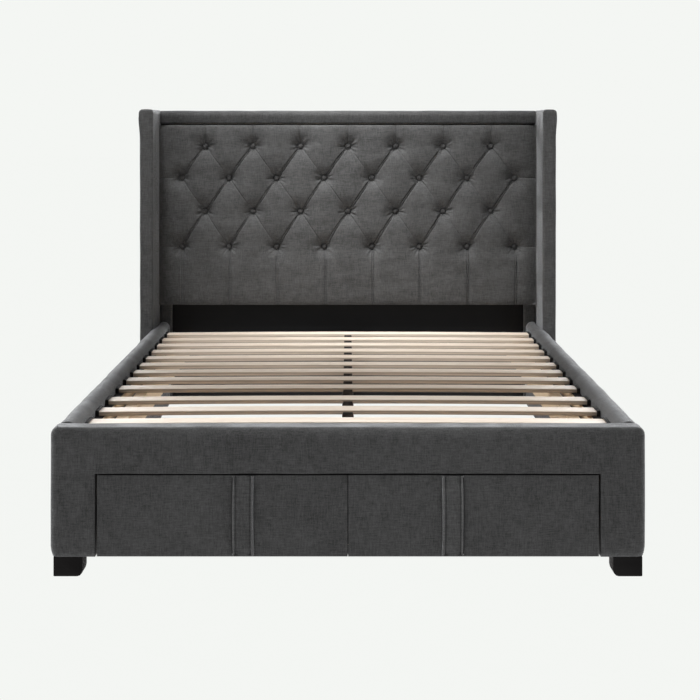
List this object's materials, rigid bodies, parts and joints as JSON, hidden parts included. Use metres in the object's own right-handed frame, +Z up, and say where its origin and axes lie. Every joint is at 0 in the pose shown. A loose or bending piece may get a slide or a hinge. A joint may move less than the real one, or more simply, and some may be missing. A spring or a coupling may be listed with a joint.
{
  "type": "platform bed with storage drawers",
  "caption": "Upholstered double bed base with winged, deep-buttoned headboard, sprung slats, block feet and side-by-side storage drawers with strap pulls in the foot end.",
  "frame": {"origin": "on the floor, at the middle of the width and of the length", "axes": "+Z up, +Y from the foot end to the headboard, +X across, to the right of someone who stands at the foot end and looks at the headboard"},
  "size_m": [1.582, 2.1116, 1.209],
  "materials": {
    "charcoal_upholstery": "soft woven marl with a slight nap",
    "button_fabric": "the upholstery cloth drawn over a domed button",
    "strap_fabric": "the upholstery cloth, folded and stitched along both edges",
    "black_lining": "plain black lining cloth",
    "birch_slats": "clear-lacquered laminated birch",
    "pine": "planed softwood",
    "plywood": "sanded plywood",
    "black_plastic": "moulded",
    "black_wood": "black satin stain",
    "black_steel": "black powder coat",
    "zinc_steel": "bright zinc plate"
  },
  "bodies": {
    "bed_frame": {"headboard_stile_left": "pine", "headboard_stile_right": "pine", "headboard_top_rail": "pine", "headboard_mid_rail": "pine", "headboard_bottom_rail": "pine", "headboard_panel": "plywood", "headboard_lower_panel": "black_lining", "headboard_back_cover": "black_lining", "headboard_stile_cover_left": "charcoal_upholstery", "headboard_stile_cover_right": "charcoal_upholstery", "headboard_border_cover": "charcoal_upholstery", "headboard_pad": "charcoal_upholstery", "headboard_buttons": "button_fabric", "wing_board_left": "pine", "wing_board_right": "pine", "wing_cover_left": "charcoal_upholstery", "wing_cover_right": "charcoal_upholstery", "side_rail_board_left": "pine", "side_rail_board_right": "pine", "side_rail_cover_left": "charcoal_upholstery", "side_rail_cover_right": "charcoal_upholstery", "foot_rail_board": "pine", "foot_rail_cover": "charcoal_upholstery", "foot_post_left": "pine", "foot_post_right": "pine", "foot_post_cover_left": "charcoal_upholstery", "foot_post_cover_right": "charcoal_upholstery", "front_foot_left": "black_wood", "front_foot_right": "black_wood", "rear_foot_left": "black_wood", "rear_foot_right": "black_wood", "slat_ledge_left": "pine", "slat_ledge_right": "pine", "slat_holders_left": "black_plastic", "slat_holders_right": "black_plastic", "slats": "birch_slats", "centre_beam": "black_steel", "centre_legs": "black_steel", "centre_slat_seats": "black_plastic", "drawer_beam_left": "pine", "drawer_beam_right": "pine", "runner_boards": "pine", "drawer_runner_rails": "zinc_steel", "corner_hardware": "zinc_steel"},
    "drawer_left": {"drawer_left_front_board": "pine", "drawer_left_front_cover": "charcoal_upholstery", "drawer_left_sides": "pine", "drawer_left_back": "pine", "drawer_left_bottom": "plywood", "drawer_left_pull": "strap_fabric", "drawer_left_slides": "zinc_steel"},
    "drawer_right": {"drawer_right_front_board": "pine", "drawer_right_front_cover": "charcoal_upholstery", "drawer_right_sides": "pine", "drawer_right_back": "pine", "drawer_right_bottom": "plywood", "drawer_right_pull": "strap_fabric", "drawer_right_slides": "zinc_steel"},
    "runner_left": {"runner_middles_left": "zinc_steel"},
    "runner_right": {"runner_middles_right": "zinc_steel"}
  },
  "joints": [
    {"name": "drawer_left_slide", "type": "slide", "parent": "bed_frame", "child": "drawer_left", "axis": [0, -1, 0], "range_m": [0, 0.6]},
    {"name": "drawer_right_slide", "type": "slide", "parent": "bed_frame", "child": "drawer_right", "axis": [0, -1, 0], "range_m": [0, 0.6]},
    {"name": "runner_left_slide", "type": "slide", "parent": "bed_frame", "child": "runner_left", "axis": [0, -1, 0], "range_m": [0, 0.3]},
    {"name": "runner_right_slide", "type": "slide", "parent": "bed_frame", "child": "runner_right", "axis": [0, -1, 0], "range_m": [0, 0.3]}
  ],
  "couplings": [
    {"joint": "runner_left_slide", "follows": "drawer_left_slide", "ratio": 0.5},
    {"joint": "runner_right_slide", "follows": "drawer_right_slide", "ratio": 0.5}
  ]
}
